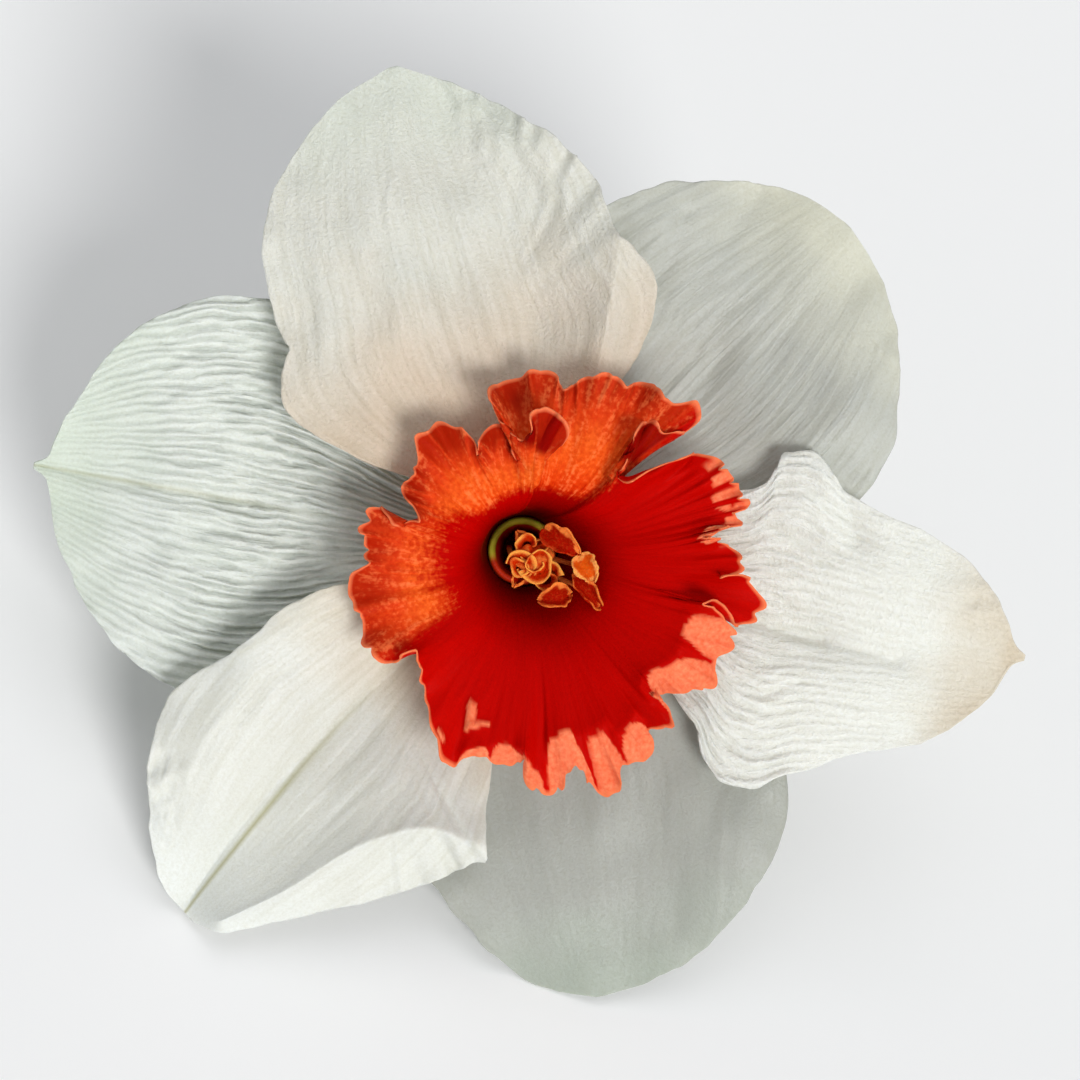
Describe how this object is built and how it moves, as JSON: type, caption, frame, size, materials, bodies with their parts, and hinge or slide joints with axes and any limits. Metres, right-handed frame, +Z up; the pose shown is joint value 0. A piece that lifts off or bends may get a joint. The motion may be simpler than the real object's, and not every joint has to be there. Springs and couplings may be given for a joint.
{
  "type": "narcissus flower",
  "caption": "Picked narcissus bloom with white tepals and a frilled red corona, lying face up on its tepals and a short cut stalk.",
  "frame": {"origin": "on the ground under the middle of the whole flower's box, as it lies", "axes": "+Z up, the bloom's face leans towards -Y, the stalk runs away along the ground towards +Y"},
  "size_m": [0.0998, 0.1132, 0.0588],
  "materials": {
    "tepal": "satin",
    "corona": "satin",
    "tube": "satin",
    "green_tissue": "satin",
    "pollen": "matte",
    "dry_sheath": "matte"
  },
  "bodies": {
    "root": {"tepal_top": "tepal", "tepal_left": "tepal", "tepal_lower_left": "tepal", "tepal_bottom": "tepal", "tepal_right": "tepal", "tepal_upper_right": "tepal", "corona": "corona", "perianth_tube": "tube", "ovary": "green_tissue", "anther_1": "pollen", "anther_2": "pollen", "anther_3": "pollen", "anther_4": "pollen", "anther_5": "pollen", "anther_6": "pollen", "filament_1": "tube", "filament_2": "tube", "filament_3": "tube", "filament_4": "tube", "filament_5": "tube", "filament_6": "tube", "style": "tube", "stigma": "pollen", "neck": "green_tissue", "stalk": "green_tissue", "spathe": "dry_sheath"}
  },
  "joints": []
}
